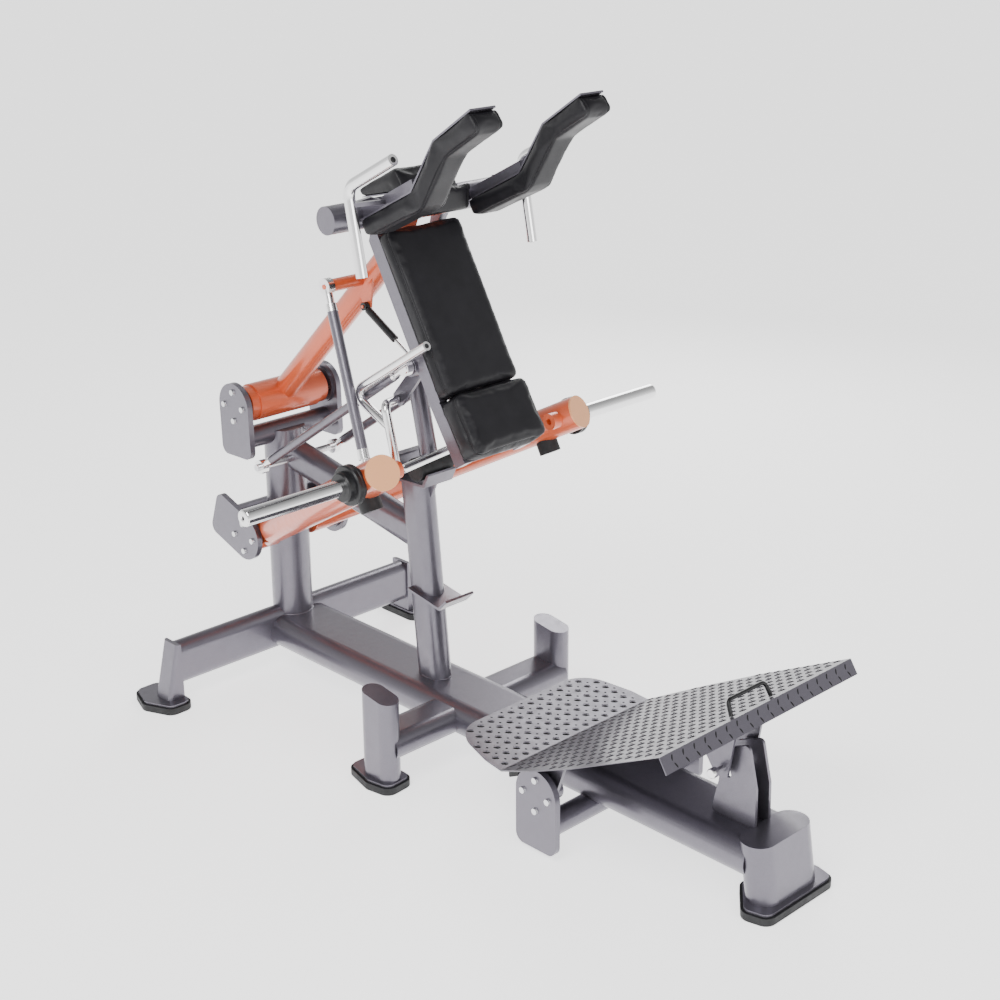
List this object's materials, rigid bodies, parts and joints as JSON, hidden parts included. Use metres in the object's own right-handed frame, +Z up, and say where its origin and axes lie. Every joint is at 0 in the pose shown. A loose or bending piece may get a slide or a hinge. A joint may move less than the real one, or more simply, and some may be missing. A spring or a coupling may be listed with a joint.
{
  "type": "plate-loaded lever squat machine",
  "caption": "Plate-loaded lever squat machine: reclined carriage with shoulder pads on a swinging arm, weight lever below and an angled footplate in front.",
  "frame": {"origin": "centre of the bounding box at floor level", "axes": "+Z up, X across the machine with its symmetry plane at X = 0, -Y towards the footplate end"},
  "size_m": [1.7, 2.4403, 2.1],
  "materials": {
    "frame_gray": "gloss metallic powder coat",
    "arm_orange": "gloss powder coat",
    "cap_light": "gloss paint",
    "pad_black": "upholstered foam pad, satin leatherette",
    "rubber_black": "matte moulded rubber",
    "plastic_black": "satin black",
    "chrome": "polished chrome",
    "steel": "zinc plated steel"
  },
  "bodies": {
    "frame": {"spine": "frame_gray", "rear_crossbar": "frame_gray", "rear_legs": "frame_gray", "front_leg": "frame_gray", "side_posts": "frame_gray", "side_bars": "frame_gray", "rear_post": "frame_gray", "front_upright": "frame_gray", "brace": "frame_gray", "upper_cross_tube": "frame_gray", "lower_cross_tube": "frame_gray", "foot_cross_tube": "frame_gray", "upper_pivot_plates": "frame_gray", "lower_pivot_plates": "frame_gray", "foot_pivot_plates": "frame_gray", "flange_bearings": "steel", "pivot_bolts": "steel", "link_shaft": "steel", "rubber_feet": "rubber_black", "foot_plates": "frame_gray", "rack_hooks": "frame_gray", "latch_post": "frame_gray", "latch_roller": "rubber_black", "sector_plates": "frame_gray"},
    "main_arm": {"main_arm": "arm_orange", "upper_shaft": "steel", "carriage_shaft": "steel"},
    "carriage": {"carriage_frame": "frame_gray", "shoulder_channels": "frame_gray", "pad_backings": "frame_gray", "shoulder_pad_left": "pad_black", "shoulder_pad_right": "pad_black", "back_pad": "pad_black", "lumbar_pad": "pad_black", "headrest": "pad_black", "shoulder_handles": "chrome", "handle_brackets": "frame_gray", "lever_pin": "steel"},
    "release_lever": {"release_lever": "chrome"},
    "guide_links": {"guide_links": "frame_gray", "link_ends": "chrome"},
    "push_rods": {"push_rods": "frame_gray", "push_rod_ends": "chrome"},
    "gas_spring_body": {"gas_spring_body": "plastic_black"},
    "gas_spring_rod": {"gas_spring_rod": "chrome"},
    "weight_lever": {"weight_lever": "arm_orange", "lever_bosses": "arm_orange", "rod_pins": "steel", "lever_caps": "cap_light", "bumpers": "rubber_black", "plate_collars": "plastic_black", "weight_horns": "chrome", "horn_caps": "chrome", "lower_shaft": "steel"},
    "footplate": {"footplate": "frame_gray", "footplate_lugs": "frame_gray", "foot_shafts": "steel", "staple_handle": "plastic_black", "footplate_rubbers": "rubber_black"},
    "footplate_pin": {"footplate_pin": "chrome"}
  },
  "joints": [
    {"name": "main_arm_hinge", "type": "hinge", "parent": "frame", "child": "main_arm", "pos_m": [0, 1.04986, 0.988], "axis": [1, 0, 0], "range_deg": [0, 18]},
    {"name": "carriage_hinge", "type": "hinge", "parent": "main_arm", "child": "carriage", "pos_m": [0, 0.32186, 1.742], "axis": [1, 0, 0], "range_deg": [-9, 0]},
    {"name": "guide_links_hinge", "type": "hinge", "parent": "frame", "child": "guide_links", "pos_m": [0, 0.96686, 0.785], "axis": [1, 0, 0], "range_deg": [0, 19.5]},
    {"name": "weight_lever_hinge", "type": "hinge", "parent": "frame", "child": "weight_lever", "pos_m": [0, 1.03586, 0.52], "axis": [1, 0, 0], "range_deg": [0, 14.5]},
    {"name": "push_rods_hinge", "type": "hinge", "parent": "main_arm", "child": "push_rods", "pos_m": [0, 0.55386, 1.48], "axis": [1, 0, 0], "range_deg": [-13, 0]},
    {"name": "gas_spring_hinge", "type": "hinge", "parent": "main_arm", "child": "gas_spring_body", "pos_m": [0, 0.52586, 1.4], "axis": [1, 0, 0], "range_deg": [-8, 0]},
    {"name": "gas_spring_slide", "type": "slide", "parent": "gas_spring_body", "child": "gas_spring_rod", "axis": [0, -0.8688, -0.4952], "range_m": [0, 0.061]},
    {"name": "release_lever_hinge", "type": "hinge", "parent": "carriage", "child": "release_lever", "pos_m": [0, 0.31986, 1.152], "axis": [1, 0, 0], "range_deg": [-20, 0]},
    {"name": "footplate_hinge", "type": "hinge", "parent": "frame", "child": "footplate", "pos_m": [0, -0.50914, 0.193], "axis": [1, 0, 0], "range_deg": [-3, 3]},
    {"name": "footplate_pin_slide", "type": "slide", "parent": "footplate", "child": "footplate_pin", "axis": [-1, 0, 0], "range_m": [0, 0.11]}
  ],
  "couplings": [
    {"joint": "carriage_hinge", "follows": "main_arm_hinge", "ratio": -0.484},
    {"joint": "guide_links_hinge", "follows": "main_arm_hinge", "ratio": 1.052},
    {"joint": "weight_lever_hinge", "follows": "main_arm_hinge", "ratio": 0.786},
    {"joint": "push_rods_hinge", "follows": "main_arm_hinge", "ratio": -0.705},
    {"joint": "gas_spring_hinge", "follows": "main_arm_hinge", "ratio": -0.436},
    {"joint": "gas_spring_slide", "follows": "main_arm_hinge", "m_per_rad": 0.192}
  ]
}
